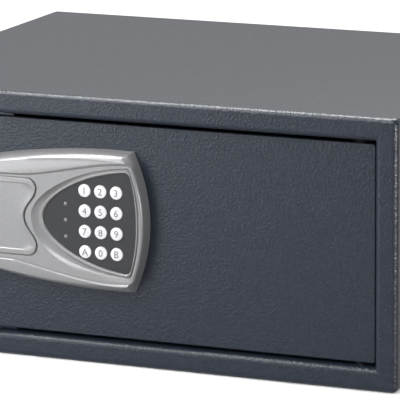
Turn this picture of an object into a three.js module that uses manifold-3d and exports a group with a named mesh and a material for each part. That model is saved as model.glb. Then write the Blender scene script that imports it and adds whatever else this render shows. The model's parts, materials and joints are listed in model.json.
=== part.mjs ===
// In-room safe: a low steel cabinet with a recessed door, an electronic keypad lock and a turn knob.
// Millimetres. +X to the right, +Y to the back, +Z up. The origin is the middle of the cabinet's base.

import * as THREE from 'three';
import { mergeVertices } from 'three/addons/utils/BufferGeometryUtils.js';
import Module from 'manifold-3d';

const wasm = await Module();
wasm.setup();

// ---------- driving dimensions ----------

const GAP = 0.3; // clearance between pieces that touch
const THROUGH = 5; // extra length of a cutting tool past the wall it cuts

// Cabinet.
const WIDTH = 430;
const DEPTH = 340;
const HEIGHT = 200;
const SHEET = 2; // cabinet sheet
const FRONT = -DEPTH / 2; // y of the frame's front face
const REAR = DEPTH / 2;
const EDGE_RADIUS = 4.2; // bends at the frame's outer and inner edges
const CORNER_RADIUS = 5; // long corners of the cabinet
const FLANGE = 17; // width of the frame's front face
const FRAME_LIP = 8; // how far the frame's outer leg reaches back
const SIDE_RETURN = 14; // depth of the frame's inner leg at the sides
const LONG_RETURN = 24; // depth of the inner leg at top and bottom, which carry the hinge pins
const ANCHOR_HOLE = 10; // diameter of the fixing holes
const BASE_ANCHORS = [[-150, -90], [150, -90], [-150, 110], [150, 110]]; // x, y
const REAR_ANCHORS = [[-120, 100], [120, 100]]; // x, z
const MAT = { thickness: 2.5, margin: 2, front: -140, back: 163, hole: 16 };

// Door.
const DOOR_RECESS = 7; // door face behind the frame's face
const DOOR_PLATE = 3;
const DOOR_SIDE_GAP = 1.7;
const DOOR_TOP_GAP = 3;
const DOOR_BOTTOM_GAP = 2.2;
const DOOR_CHAMFER = 0.8;
const DOOR_FACE = FRONT + DOOR_RECESS;
const DOOR_BACK = DOOR_FACE + DOOR_PLATE;
const DOOR_RIGHT = WIDTH / 2 - FLANGE - DOOR_SIDE_GAP;
const DOOR_TOP = HEIGHT - FLANGE - DOOR_TOP_GAP;
const DOOR_BOTTOM = FLANGE + DOOR_BOTTOM_GAP;
const CABLE_HOLE = { radius: 8, x: -20 }; // passes the keypad's wires through the door
const STOP = { left: -170, right: -90, height: 6, thickness: 3 };

// Hinge: the pin lies just behind the door plate and close to its edge, so that the edge clears the doorway.
const HINGE = { x: 184, y: DOOR_BACK + 2.8, pin: 5 };
const HINGE_BLOCK = { halfWidth: 8, back: -150.5, height: 20 };
const WASHER = { radius: 5, thickness: 1.6 };
const PIN_REACH = 12; // length of pin outside the door

// Door's inner cover, which closes off the lock mechanism.
const COVER = { left: -184, right: 168, bottom: 36, top: 164, back: -122, wall: 1.5, flange: 11 };
const COVER_SCREW = { xs: [-150, 140], radius: 3.8, height: 2.4, slotWidth: 0.8, slotLength: 5.2 };
const RESET = { x: 20, z: 135, hole: 3.3, stem: 3, collar: 4.2, back: -130 };

// Lock fascia, whose heights are measured outwards from the door's face.
const AXIS_Z = 108; // height of the fascia's long axis
const FASCIA = { left: -184, right: 21.2, rim: 13.2, plateau: 11.5, hollow: 8, wall: 3, bevel: 5 };
const PAD = { face: 10.4, back: 6.6, left: -60.3, right: 14.4, centreZ: 108.8, halfHeight: 37.6 };
const KEY = {
  radius: 4.9, face: 11.5, back: 5.4, pitchX: 12.7, pitchZ: 15.3, firstX: -26.7, firstZ: 131.1,
};
const KEY_NAMES = [['1', '2', '3'], ['4', '5', '6'], ['7', '8', '9'], ['a', '0', 'b']];
const LENS = { radius: 1.5, x: -42.4, zs: [120, 107.8, 95.5] };
const BOARD = { face: 3.9, back: 2.3 }; // leaves the keys their travel
const SERVICE = { left: -133.5, right: -66.2, halfHeight: 29, seat: 9.8, face: 12, rail: 3.7, sink: 0.5 };
const KNOB = { x: -150, radius: 22, skirt: 6, height: 20, shaft: 8 };
const KEY_LOCK = { x: -100, barrel: 19, barrelFace: 9.5, barrelBack: -137, core: 12, coreBack: -132 };

// Bolt work behind the door plate.
const BOLT = { radius: 7.5, y: -144, zs: [60, 140], tip: -190, end: -158.3, travel: 17 };
const BAR = { front: -145.5, back: -142.5, left: -158, right: -118, bottom: 50, top: 150 };
const GUIDE = { left: -180, right: -176, back: -130, bottom: 44, top: 156 };
const CRANK = 12; // radius of the drive pin, which swings from 45 degrees right to 45 degrees left
const PLUNGER = { x: -95, radius: 3, foot: 52, tip: 77.4, rise: 5 };
const SOLENOID = { halfWidth: 11, back: -132, bottom: 42, top: 67 };

// Battery pack of four AA cells.
const CELL = { radius: 7, length: 50, count: 4, pitch: 15, firstX: 69.5, z: 102, y: -133 };
const PACK = { left: CELL.firstX - 9, right: CELL.firstX + 54, wall: 1.5 };
const LID = { margin: 4, halfHeight: 32, thickness: 2, ribs: 3, ribHalfWidth: 10, ribPitch: 4 };

// ---------- materials ----------

function paint(colour, roughness, metalness) {
  return new THREE.MeshStandardMaterial({ color: colour, roughness, metalness });
}

const cabinetPaint = paint(0x464b57, 0.45, 0.3);
const fasciaPaint = paint(0xa9abb0, 0.4, 0.5);
const padPlastic = paint(0x4a4c50, 0.6, 0);
const keyPlastic = paint(0xe4e2e6, 0.5, 0);
const steel = paint(0xb4b6ba, 0.35, 0.9);
const brass = paint(0xb89a52, 0.35, 0.9);
const blackPlastic = paint(0x1d1e20, 0.6, 0);
const boardGreen = paint(0x1f5a38, 0.6, 0);
const cellLabel = paint(0x2f6b48, 0.4, 0.2);
const felt = paint(0x2a2b2e, 0.95, 0);
const lensPlastic = paint(0x8c8d90, 0.3, 0);
const redPlastic = paint(0xa02822, 0.5, 0);

// ---------- solids ----------

function toSolid(geometry) {
  const bare = new THREE.BufferGeometry();
  bare.setAttribute('position', geometry.attributes.position.clone());
  if (geometry.index) bare.setIndex(geometry.index.clone());
  const merged = mergeVertices(bare, 1e-4);
  const corners = [];
  for (let i = 0; i < merged.index.count; i += 3) {
    const [a, b, c] = [0, 1, 2].map((k) => merged.index.getX(i + k));
    if (a !== b && b !== c && c !== a) corners.push(a, b, c);
  }
  return new wasm.Manifold(new wasm.Mesh({
    numProp: 3,
    vertProperties: merged.attributes.position.array,
    triVerts: new Uint32Array(corners),
  }));
}

function toGeometry(solid) {
  const mesh = solid.getMesh();
  const geometry = new THREE.BufferGeometry();
  geometry.setAttribute('position', new THREE.BufferAttribute(mesh.vertProperties, 3));
  geometry.setIndex(new THREE.BufferAttribute(mesh.triVerts, 1));
  geometry.computeVertexNormals();
  return geometry;
}

function cut(geometry, tools) {
  let solid = toSolid(geometry);
  for (const tool of tools) solid = solid.subtract(toSolid(tool));
  return toGeometry(solid);
}

function join(pieces) {
  const [first, ...others] = pieces.map(toSolid);
  return toGeometry(others.reduce((whole, piece) => whole.add(piece), first));
}

function block(x0, x1, y0, y1, z0, z1) {
  const geometry = new THREE.BoxGeometry(x1 - x0, y1 - y0, z1 - z0);
  return geometry.translate((x0 + x1) / 2, (y0 + y1) / 2, (z0 + z1) / 2);
}

// A cylinder along Y from y0 to y1.
function rodY(radius, x, z, y0, y1, sides = 24) {
  return new THREE.CylinderGeometry(radius, radius, y1 - y0, sides).translate(x, (y0 + y1) / 2, z);
}

function rodX(radius, x0, x1, y, z, sides = 24) {
  const geometry = new THREE.CylinderGeometry(radius, radius, x1 - x0, sides).rotateZ(Math.PI / 2);
  return geometry.translate((x0 + x1) / 2, y, z);
}

function rodZ(radius, x, y, z0, z1, sides = 24) {
  const geometry = new THREE.CylinderGeometry(radius, radius, z1 - z0, sides).rotateX(Math.PI / 2);
  return geometry.translate(x, y, (z0 + z1) / 2);
}

// A body turned about Y from a profile of [radius, y].
function lathe(profile, sides) {
  return new THREE.LatheGeometry(profile.map(([radius, y]) => new THREE.Vector2(radius, y)), sides);
}

// A shape drawn in X and Z, thickened from yFront to yBack.
function plate(shape, yFront, yBack, curveSegments = 8) {
  const options = { depth: yBack - yFront, bevelEnabled: false, curveSegments };
  return new THREE.ExtrudeGeometry(shape, options).rotateX(Math.PI / 2).translate(0, yBack, 0);
}

// The same with both faces' edges rounded: the shape outlines the face, and the body is wider by the bevel.
function roundedPlate(shape, yFront, yBack, bevel, bevelSegments, curveSegments = 8) {
  const options = {
    depth: yBack - yFront - 2 * bevel,
    bevelSize: bevel,
    bevelThickness: bevel,
    bevelSegments,
    curveSegments,
  };
  return new THREE.ExtrudeGeometry(shape, options).rotateX(Math.PI / 2).translate(0, yBack - bevel, 0);
}

function rectangle(left, right, bottom, top, radius = 0, target = new THREE.Shape()) {
  if (radius === 0) {
    target.moveTo(left, bottom).lineTo(right, bottom).lineTo(right, top).lineTo(left, top);
    target.closePath();
    return target;
  }
  target.moveTo(left + radius, bottom).lineTo(right - radius, bottom);
  target.absarc(right - radius, bottom + radius, radius, -Math.PI / 2, 0);
  target.absarc(right - radius, top - radius, radius, 0, Math.PI / 2);
  target.absarc(left + radius, top - radius, radius, Math.PI / 2, Math.PI);
  target.absarc(left + radius, bottom + radius, radius, Math.PI, 1.5 * Math.PI);
  return target;
}

function circle(x, y, radius) {
  return new THREE.Path().absarc(x, y, radius, 0, 2 * Math.PI, true);
}

function node(name, geometry, material) {
  const mesh = new THREE.Mesh(geometry, material);
  mesh.name = name;
  return mesh;
}

// y of a height on the fascia, measured outwards from the door's face.
function out(height) {
  return DOOR_FACE - height;
}

// ---------- cabinet ----------

function cabinetOutline(inset, radius) {
  return rectangle(-WIDTH / 2 + inset, WIDTH / 2 - inset, inset, HEIGHT - inset, radius);
}

function openingOutline(grow) {
  const x = WIDTH / 2 - FLANGE + grow;
  return rectangle(-x, x, FLANGE - grow, HEIGHT - FLANGE + grow);
}

function ring(outer, hole, yFront, yBack) {
  outer.holes.push(hole);
  return plate(outer, yFront, yBack, 3);
}

function bodyWrap() {
  const start = FRONT + FRAME_LIP + GAP;
  const inner = cabinetOutline(SHEET, CORNER_RADIUS - SHEET);
  const tube = ring(cabinetOutline(0, CORNER_RADIUS), inner, start, REAR - SHEET - GAP);
  return cut(tube, BASE_ANCHORS.map(([x, y]) => rodZ(ANCHOR_HOLE / 2, x, y, -THROUGH, THROUGH, 16)));
}

function backPanel() {
  const panel = cabinetOutline(0, CORNER_RADIUS);
  for (const [x, z] of REAR_ANCHORS) {
    panel.holes.push(circle(x, z, ANCHOR_HOLE / 2));
  }
  return plate(panel, REAR - SHEET, REAR, 4);
}

// The bent steel frame: front flange, short outer leg and an inner leg that lines the doorway.
function frontFrame() {
  const face = cabinetOutline(EDGE_RADIUS, CORNER_RADIUS - EDGE_RADIUS);
  face.holes.push(openingOutline(EDGE_RADIUS));
  const back = FRONT + FRAME_LIP;
  const past = back + 2 * EDGE_RADIUS;
  const solidRing = roundedPlate(face, FRONT, past, EDGE_RADIUS, 3, 3);
  const channel = ring(cabinetOutline(SHEET, 1), openingOutline(SHEET), FRONT + SHEET, past + 1);
  const rear = ring(cabinetOutline(-1, 1), openingOutline(SHEET), back, past + 1);
  const flange = cut(solidRing, [channel, rear]);
  const returns = ring(openingOutline(SHEET), openingOutline(0), FRONT + EDGE_RADIUS, FRONT + LONG_RETURN);
  const inside = WIDTH / 2 - FLANGE;
  const sideTrims = [-1, 1].map((side) => {
    const [x0, x1] = side < 0 ? [-inside - THROUGH, -inside + 0.01] : [inside - 0.01, inside + THROUGH];
    return block(x0, x1, FRONT + SIDE_RETURN, REAR, FLANGE, HEIGHT - FLANGE);
  });
  const pinHole = rodZ(HINGE.pin / 2 + GAP, HINGE.x, HINGE.y, 0, HEIGHT, 20);
  return cut(join([flange, returns]), [...sideTrims, pinHole]);
}

function floorMat() {
  const side = WIDTH / 2 - SHEET - MAT.margin;
  const mat = rectangle(-side, side, MAT.front, MAT.back);
  for (const [x, y] of BASE_ANCHORS) mat.holes.push(circle(x, y, MAT.hole / 2));
  const options = { depth: MAT.thickness, bevelEnabled: false, curveSegments: 6 };
  return new THREE.ExtrudeGeometry(mat, options).translate(0, 0, SHEET + GAP);
}

// A strip under the top return, or on the bottom one, that the closed door rests against.
function doorStop(upper) {
  const edge = upper ? HEIGHT - FLANGE - GAP : FLANGE + GAP;
  const [z0, z1] = upper ? [edge - STOP.height, edge] : [edge, edge + STOP.height];
  return block(STOP.left, STOP.right, DOOR_BACK + GAP, DOOR_BACK + STOP.thickness, z0, z1);
}

// ---------- door ----------

function doorPlate() {
  const side = DOOR_RIGHT - DOOR_CHAMFER;
  const face = rectangle(-side, side, DOOR_BOTTOM + DOOR_CHAMFER, DOOR_TOP - DOOR_CHAMFER);
  const blank = roundedPlate(face, DOOR_FACE, DOOR_BACK, DOOR_CHAMFER, 1);
  const span = [DOOR_FACE - THROUGH, DOOR_BACK + THROUGH];
  return cut(blank, [
    rodY(KNOB.shaft / 2 + 1, KNOB.x, AXIS_Z, ...span, 16),
    rodY(KEY_LOCK.barrel / 2 + GAP, KEY_LOCK.x, AXIS_Z, ...span, 20),
    rodY(CABLE_HOLE.radius, CABLE_HOLE.x, AXIS_Z, ...span, 16),
  ]);
}

// The block behind the door plate that holds a hinge pin in a groove against the plate.
function hingeBlock(z0, z1) {
  const { halfWidth, back } = HINGE_BLOCK;
  const groove = rodZ(HINGE.pin / 2 + GAP, HINGE.x, HINGE.y, z0 - 1, z1 + 1, 20);
  return cut(block(HINGE.x - halfWidth, HINGE.x + halfWidth, DOOR_BACK + GAP, back, z0, z1), [groove]);
}

function hingePin(z0, z1) {
  return rodZ(HINGE.pin / 2, HINGE.x, HINGE.y, z0, z1, 20);
}

function hingeWasher(z0) {
  const washer = new THREE.Shape().absarc(HINGE.x, HINGE.y, WASHER.radius, 0, 2 * Math.PI);
  washer.holes.push(circle(HINGE.x, HINGE.y, HINGE.pin / 2 + GAP));
  const options = { depth: WASHER.thickness, bevelEnabled: false, curveSegments: 10 };
  return new THREE.ExtrudeGeometry(washer, options).translate(0, 0, z0);
}

// A pressed tray with a screw flange along its top and bottom edges.
function innerCover() {
  const { left, right, bottom, top, back, wall, flange } = COVER;
  const front = DOOR_BACK + GAP;
  const pan = block(left, right, front, back, bottom, top);
  const brim = block(left, right, front, front + wall, bottom - flange, top + flange);
  const hollow = block(left + wall, right - wall, front - THROUGH, back - wall, bottom + wall, top - wall);
  const boltHoles = BOLT.zs.map((z) => rodX(BOLT.radius + GAP, left - 1, left + THROUGH, BOLT.y, z));
  const half = CELL.length / 2 + 3;
  const [x0, x1] = [PACK.left - 0.5, PACK.right + 0.5];
  const window = block(x0, x1, back - THROUGH, back + 1, CELL.z - half, CELL.z + half);
  const buttonHole = rodY(RESET.hole, RESET.x, RESET.z, back - THROUGH, back + 1, 16);
  return cut(join([pan, brim]), [hollow, window, buttonHole, ...boltHoles]);
}

function coverScrew(x, z) {
  const { radius, height, slotWidth, slotLength } = COVER_SCREW;
  const base = DOOR_BACK + GAP + COVER.wall + GAP;
  const head = rodY(radius, x, z, base, base + height, 16);
  const slot = block(
    x - slotLength / 2, x + slotLength / 2, base + height / 2, base + height + 1,
    z - slotWidth / 2, z + slotWidth / 2,
  );
  return cut(head, [slot]);
}

// ---------- lock fascia ----------

// Outline of the fascia: a full right-hand end around the keypad, tapering to a round left-hand end.
function fasciaOutline(inset) {
  const { left, right } = FASCIA;
  const shape = new THREE.Shape();
  const [x0, x1] = [left + inset, right - inset];
  const z = (half) => [AXIS_Z + half - inset, AXIS_Z - half + inset];
  const [cornerTop, cornerBottom] = z(52.4);
  const [endTop, endBottom] = z(49);
  const [broadTop, broadBottom] = z(54.2);
  const [slopeTop, slopeBottom] = z(50.6);
  const [neckTop, neckBottom] = z(44.3);
  const [lowTop, lowBottom] = z(41.2);
  const [waistTop, waistBottom] = z(40.5);
  const [shoulderTop, shoulderBottom] = z(24);
  shape.moveTo(x1 - 7.5, endBottom);
  shape.quadraticCurveTo(x1 + 7.5, AXIS_Z, x1 - 7.5, endTop);
  shape.quadraticCurveTo(x1 - 8.6, cornerTop, x1 - 12, cornerTop);
  shape.bezierCurveTo(-25, broadTop, -65, slopeTop, -100, neckTop);
  shape.bezierCurveTo(-117, lowTop, -128, waistTop, -144, waistTop);
  shape.bezierCurveTo(-170, waistTop, x0, shoulderTop, x0, AXIS_Z);
  shape.bezierCurveTo(x0, shoulderBottom, -170, waistBottom, -144, waistBottom);
  shape.bezierCurveTo(-128, waistBottom, -117, lowBottom, -100, neckBottom);
  shape.bezierCurveTo(-65, slopeBottom, -25, broadBottom, x1 - 12, cornerBottom);
  shape.quadraticCurveTo(x1 - 8.6, cornerBottom, x1 - 7.5, endBottom);
  return shape;
}

// The sunk middle of the fascia: a straight band at the left that opens out round the keypad.
function plateauOutline() {
  const shape = new THREE.Shape();
  const [x0, x1] = [-176, 13.2];
  shape.moveTo(x1, AXIS_Z - 44);
  shape.quadraticCurveTo(x1 + 7, AXIS_Z, x1, AXIS_Z + 44);
  shape.bezierCurveTo(-25, AXIS_Z + 43.5, -54, AXIS_Z + 31, -82, AXIS_Z + 31);
  shape.lineTo(-146, AXIS_Z + 31);
  shape.bezierCurveTo(-166, AXIS_Z + 31, x0, AXIS_Z + 18, x0, AXIS_Z);
  shape.bezierCurveTo(x0, AXIS_Z - 18, -166, AXIS_Z - 31, -146, AXIS_Z - 31);
  shape.lineTo(-82, AXIS_Z - 31);
  shape.bezierCurveTo(-54, AXIS_Z - 31, -25, AXIS_Z - 43.5, x1, AXIS_Z - 44);
  return shape;
}

// The keypad's outline: a D with its round end to the left and a shallow arc at the right.
function padOutline(grow) {
  const { left, right, centreZ, halfHeight } = PAD;
  const [x0, x1, half] = [left - grow, right + grow, halfHeight + grow];
  const shape = new THREE.Shape();
  shape.moveTo(x0, centreZ);
  shape.bezierCurveTo(x0, centreZ - 15 - grow, -30, centreZ - 34 - grow, x1 - 9, centreZ - half);
  shape.quadraticCurveTo(x1 - 5, centreZ - half, x1 - 4.2, centreZ - half + 4.5);
  shape.quadraticCurveTo(x1 + 4.2, centreZ, x1 - 4.2, centreZ + half - 4.5);
  shape.quadraticCurveTo(x1 - 5, centreZ + half, x1 - 9, centreZ + half);
  shape.bezierCurveTo(-30, centreZ + 34 + grow, x0, centreZ + 15 + grow, x0, centreZ);
  return shape;
}

// The service cover: straight long edges and scooped ends that follow the keypad's and the knob's rims.
function serviceOutline(grow) {
  const half = SERVICE.halfHeight + grow;
  const [x0, x1] = [SERVICE.left - grow, SERVICE.right + grow];
  const corner = 7;
  const depth = 10;
  const shape = new THREE.Shape();
  shape.moveTo(x0 + corner, AXIS_Z - half);
  shape.lineTo(x1 - corner, AXIS_Z - half);
  shape.quadraticCurveTo(x1, AXIS_Z - half, x1, AXIS_Z - half + corner);
  shape.bezierCurveTo(x1, AXIS_Z - 14, x1 - depth, AXIS_Z - 12, x1 - depth, AXIS_Z);
  shape.bezierCurveTo(x1 - depth, AXIS_Z + 12, x1, AXIS_Z + 14, x1, AXIS_Z + half - corner);
  shape.quadraticCurveTo(x1, AXIS_Z + half, x1 - corner, AXIS_Z + half);
  shape.lineTo(x0 + corner, AXIS_Z + half);
  shape.quadraticCurveTo(x0, AXIS_Z + half, x0, AXIS_Z + half - corner);
  shape.bezierCurveTo(x0, AXIS_Z + 14, x0 + depth, AXIS_Z + 12, x0 + depth, AXIS_Z);
  shape.bezierCurveTo(x0 + depth, AXIS_Z - 12, x0, AXIS_Z - 14, x0, AXIS_Z - half + corner);
  shape.quadraticCurveTo(x0, AXIS_Z - half, x0 + corner, AXIS_Z - half);
  return shape;
}

function fasciaHousing() {
  const { bevel, rim, plateau, hollow, wall } = FASCIA;
  const behind = DOOR_FACE + THROUGH + 2 * bevel;
  const skin = roundedPlate(fasciaOutline(bevel), out(rim), behind, bevel, 3, 7);
  const front = out(rim) - 1;
  return cut(skin, [
    block(-WIDTH / 2, WIDTH / 2, DOOR_FACE - GAP, behind + 1, 0, HEIGHT),
    plate(fasciaOutline(wall), out(hollow), DOOR_FACE + 1, 7),
    plate(plateauOutline(), front, out(plateau), 7),
    plate(padOutline(GAP), front, DOOR_FACE, 7),
    plate(serviceOutline(GAP), front, out(SERVICE.seat), 5),
    rodY(KNOB.shaft / 2 + 0.5, KNOB.x, AXIS_Z, front, DOOR_FACE, 16),
    rodY(KEY_LOCK.barrel / 2 + GAP, KEY_LOCK.x, AXIS_Z, front, DOOR_FACE, 20),
  ]);
}

function keyPlace(row, column) {
  return [KEY.firstX + column * KEY.pitchX, KEY.firstZ - row * KEY.pitchZ];
}

function keypadPanel() {
  const shape = padOutline(0);
  KEY_NAMES.forEach((names, row) => names.forEach((name, column) => {
    const [x, z] = keyPlace(row, column);
    shape.holes.push(circle(x, z, KEY.radius + GAP));
  }));
  for (const z of LENS.zs) shape.holes.push(circle(LENS.x, z, LENS.radius + GAP));
  return plate(shape, out(PAD.face), out(PAD.back), 8);
}

// One key, with a shallow dome, about its own centre line with its back at y 0 and its face towards -Y.
function keyCap() {
  const length = KEY.face - KEY.back;
  const { radius } = KEY;
  const profile = [[0, 0], [radius, 0], [radius, length - 0.7], [radius - 0.6, length - 0.1], [0, length]];
  return lathe(profile, 18).rotateX(Math.PI);
}

function placedKeys() {
  return KEY_NAMES.flatMap((names, row) => names.map((name, column) => {
    const [x, z] = keyPlace(row, column);
    const key = node(`key_${name}`, keyCap(), keyPlastic);
    key.position.set(x, out(KEY.back), z);
    return key;
  }));
}

function indicatorLenses() {
  const names = ['upper', 'middle', 'lower'];
  return LENS.zs.map((z, i) => {
    const lens = rodY(LENS.radius, LENS.x, z, out(PAD.face + 0.4), out(PAD.back), 12);
    return node(`indicator_lens_${names[i]}`, lens, lensPlastic);
  });
}

function keypadBoard() {
  return plate(padOutline(-3), out(BOARD.face), out(BOARD.back), 5);
}

// The service cover has a raised rail along each long edge and a sunk middle.
function serviceCover() {
  const { left, right, face, sink } = SERVICE;
  const half = SERVICE.halfHeight - SERVICE.rail;
  const sunk = block(left - 1, right + 1, out(face) - 1, out(face - sink), AXIS_Z - half, AXIS_Z + half);
  return cut(plate(serviceOutline(0), out(face), out(SERVICE.seat + GAP), 5), [sunk]);
}

// ---------- emergency key lock ----------

function lockBarrel() {
  const span = [out(KEY_LOCK.barrelFace), KEY_LOCK.barrelBack];
  const body = rodY(KEY_LOCK.barrel / 2, KEY_LOCK.x, AXIS_Z, ...span, 24);
  return cut(body, [rodY(KEY_LOCK.core / 2 + GAP, KEY_LOCK.x, AXIS_Z, span[0] - 1, span[1] + 1, 24)]);
}

function lockCore() {
  const front = out(KEY_LOCK.barrelFace - 0.4);
  const { x, coreBack } = KEY_LOCK;
  const core = rodY(KEY_LOCK.core / 2, x, AXIS_Z, front, coreBack, 24);
  const tail = block(x - 4, x + 4, coreBack - 3.5, coreBack, AXIS_Z - 13, AXIS_Z);
  const keyway = block(x - 0.6, x + 0.6, front - 1, front + 14, AXIS_Z - 4, AXIS_Z + 4);
  return cut(join([core, tail]), [keyway]);
}

// ---------- knob and bolt work ----------

function knob() {
  const [back, faceRadius] = [FASCIA.plateau + 0.6, KNOB.radius - 2];
  const profile = [
    [0, 0], [KNOB.radius, 0], [KNOB.radius, KNOB.skirt - 2.5], [faceRadius, KNOB.skirt], [0, KNOB.skirt],
  ];
  const skirt = lathe(profile, 36).rotateX(Math.PI).translate(KNOB.x, out(back), AXIS_Z);
  const grip = rectangle(-6.5, 6.5, -18.5, 18.5, 5.5);
  const bar = roundedPlate(grip, 0, KNOB.height + 1, 1.5, 2, 4);
  bar.rotateY(-Math.PI / 4).translate(KNOB.x, out(back + KNOB.height), AXIS_Z);
  const trim = block(KNOB.x - 30, KNOB.x + 30, out(back), out(back) + 9, AXIS_Z - 30, AXIS_Z + 30);
  return cut(join([skirt, bar]), [trim]);
}

function knobShaft() {
  return rodY(KNOB.shaft / 2, KNOB.x, AXIS_Z, out(FASCIA.plateau + GAP), -151.3, 20);
}

function boltCam() {
  const disc = rodY(CRANK + 4.5, KNOB.x, AXIS_Z, -151, BAR.front - 1, 28);
  const offset = CRANK * Math.SQRT1_2;
  return join([disc, rodY(2.5, KNOB.x + offset, AXIS_Z + offset, -148, BAR.back + 1.5, 16)]);
}

// The plate that carries both bolts. Its arm has a sloping lower edge, over which the plunger rises.
function boltBar() {
  const { left, right, bottom, top } = BAR;
  const end = PLUNGER.x - PLUNGER.radius + BOLT.travel - 2 * GAP;
  const under = PLUNGER.tip + GAP;
  const shape = new THREE.Shape();
  shape.moveTo(left, bottom).lineTo(right, bottom).lineTo(right, under);
  shape.lineTo(PLUNGER.x - PLUNGER.radius, under).lineTo(end, under + PLUNGER.rise);
  shape.lineTo(end, under + 13).lineTo(right, under + 13).lineTo(right, top).lineTo(left, top).closePath();
  const slotX = KNOB.x + CRANK * Math.SQRT1_2;
  shape.holes.push(rectangle(slotX - 3.2, slotX + 3.2, AXIS_Z + 4.5, AXIS_Z + 16, 3.2, new THREE.Path()));
  return plate(shape, BAR.front, BAR.back, 5);
}

function bolt(z) {
  const length = BOLT.end - BOLT.tip;
  const r = BOLT.radius;
  const profile = [[0, 0], [r, 0], [r, length - 1.2], [r - 1.2, length], [0, length]];
  return lathe(profile, 24).rotateZ(Math.PI / 2).translate(BOLT.end, BOLT.y, z);
}

function boltGuide() {
  const { left, right, back, bottom, top } = GUIDE;
  const bracket = block(left, right, DOOR_BACK + GAP, back, bottom, top);
  const bore = (z) => rodX(BOLT.radius + GAP, left - THROUGH, right + THROUGH, BOLT.y, z);
  return cut(bracket, BOLT.zs.map(bore));
}

function solenoidBody() {
  const { halfWidth, back, bottom, top } = SOLENOID;
  const body = block(PLUNGER.x - halfWidth, PLUNGER.x + halfWidth, DOOR_BACK + GAP, back, bottom, top);
  return cut(body, [rodZ(PLUNGER.radius + GAP, PLUNGER.x, BOLT.y, PLUNGER.foot - 2, top + 1, 16)]);
}

function solenoidPlunger() {
  return rodZ(PLUNGER.radius, PLUNGER.x, BOLT.y, PLUNGER.foot, PLUNGER.tip, 16);
}

// ---------- electronics ----------

function controlBoard() {
  const board = block(-50, 40, DOOR_BACK + 2, DOOR_BACK + 3.6, 55, 115);
  const relay = block(-40, -20, DOOR_BACK + 3, DOOR_BACK + 15, 62, 78);
  const chip = block(-5, 15, DOOR_BACK + 3, DOOR_BACK + 6, 80, 92);
  return join([board, relay, chip]);
}

function resetButton() {
  const { x, z, stem, collar, back } = RESET;
  const travelStop = COVER.back - COVER.wall - 1.8;
  return join([rodY(stem, x, z, back, COVER.back + 2, 16), rodY(collar, x, z, back, travelStop, 16)]);
}

function batteryHolder() {
  const { left, right, wall } = PACK;
  const half = CELL.length / 2 + 2.5;
  const tray = block(left, right, CELL.y - 10, COVER.back - COVER.wall - GAP, CELL.z - half, CELL.z + half);
  const inner = half - wall;
  const hollow = block(left + wall, right - wall, CELL.y - 8, COVER.back, CELL.z - inner, CELL.z + inner);
  return cut(tray, [hollow]);
}

function cell(index) {
  const half = CELL.length / 2;
  const r = CELL.radius;
  const tip = 2.6;
  const shoulder = half - 1.5;
  const profile = [[0, -half], [r, -half], [r, shoulder], [tip, shoulder], [tip, half], [0, half]];
  const turn = index % 2 ? -Math.PI / 2 : Math.PI / 2;
  return lathe(profile, 20).rotateX(turn).translate(CELL.firstX + index * CELL.pitch, CELL.y, CELL.z);
}

function batteryLid() {
  const { margin, halfHeight, thickness, ribs, ribHalfWidth, ribPitch } = LID;
  const front = COVER.back + GAP;
  const [x0, x1] = [PACK.left - margin, PACK.right + margin];
  const panel = block(x0, x1, front, front + thickness, CELL.z - halfHeight, CELL.z + halfHeight);
  const middle = (x0 + x1) / 2;
  const grips = Array.from({ length: ribs }, (_, i) => {
    const z = CELL.z + 18 + ribPitch * i;
    return block(middle - ribHalfWidth, middle + ribHalfWidth, front + 1, front + thickness + 1, z, z + 1.6);
  });
  return join([panel, ...grips]);
}

// ---------- assembly ----------

function cabinet() {
  return new THREE.Group().add(
    node('body_wrap', bodyWrap(), cabinetPaint),
    node('front_frame', frontFrame(), cabinetPaint),
    node('back_panel', backPanel(), cabinetPaint),
    node('floor_mat', floorMat(), felt),
    node('door_stop_upper', doorStop(true), cabinetPaint),
    node('door_stop_lower', doorStop(false), cabinetPaint),
  );
}

function doorShell() {
  const group = new THREE.Group().add(
    node('door_plate', doorPlate(), cabinetPaint),
    node('inner_cover', innerCover(), cabinetPaint),
    node('hinge_block_upper', hingeBlock(DOOR_TOP - HINGE_BLOCK.height, DOOR_TOP - 0.5), steel),
    node('hinge_block_lower', hingeBlock(DOOR_BOTTOM + 0.5, DOOR_BOTTOM + HINGE_BLOCK.height), steel),
    node('hinge_pin_upper', hingePin(DOOR_TOP - 18, DOOR_TOP + PIN_REACH), steel),
    node('hinge_pin_lower', hingePin(DOOR_BOTTOM - PIN_REACH, DOOR_BOTTOM + 18), steel),
    node('hinge_washer_upper', hingeWasher(DOOR_TOP), blackPlastic),
    node('hinge_washer_lower', hingeWasher(DOOR_BOTTOM - WASHER.thickness), blackPlastic),
  );
  const screwZ = [COVER.bottom - COVER.flange / 2, COVER.top + COVER.flange / 2];
  let count = 0;
  for (const x of COVER_SCREW.xs) {
    for (const z of screwZ) {
      count += 1;
      group.add(node(`cover_screw_${count}`, coverScrew(x, z), steel));
    }
  }
  return group;
}

function fascia() {
  return new THREE.Group().add(
    node('fascia_housing', fasciaHousing(), fasciaPaint),
    node('keypad_panel', keypadPanel(), padPlastic),
    node('keypad_board', keypadBoard(), boardGreen),
    node('service_cover', serviceCover(), fasciaPaint),
    ...indicatorLenses(),
    ...placedKeys(),
  );
}

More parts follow.
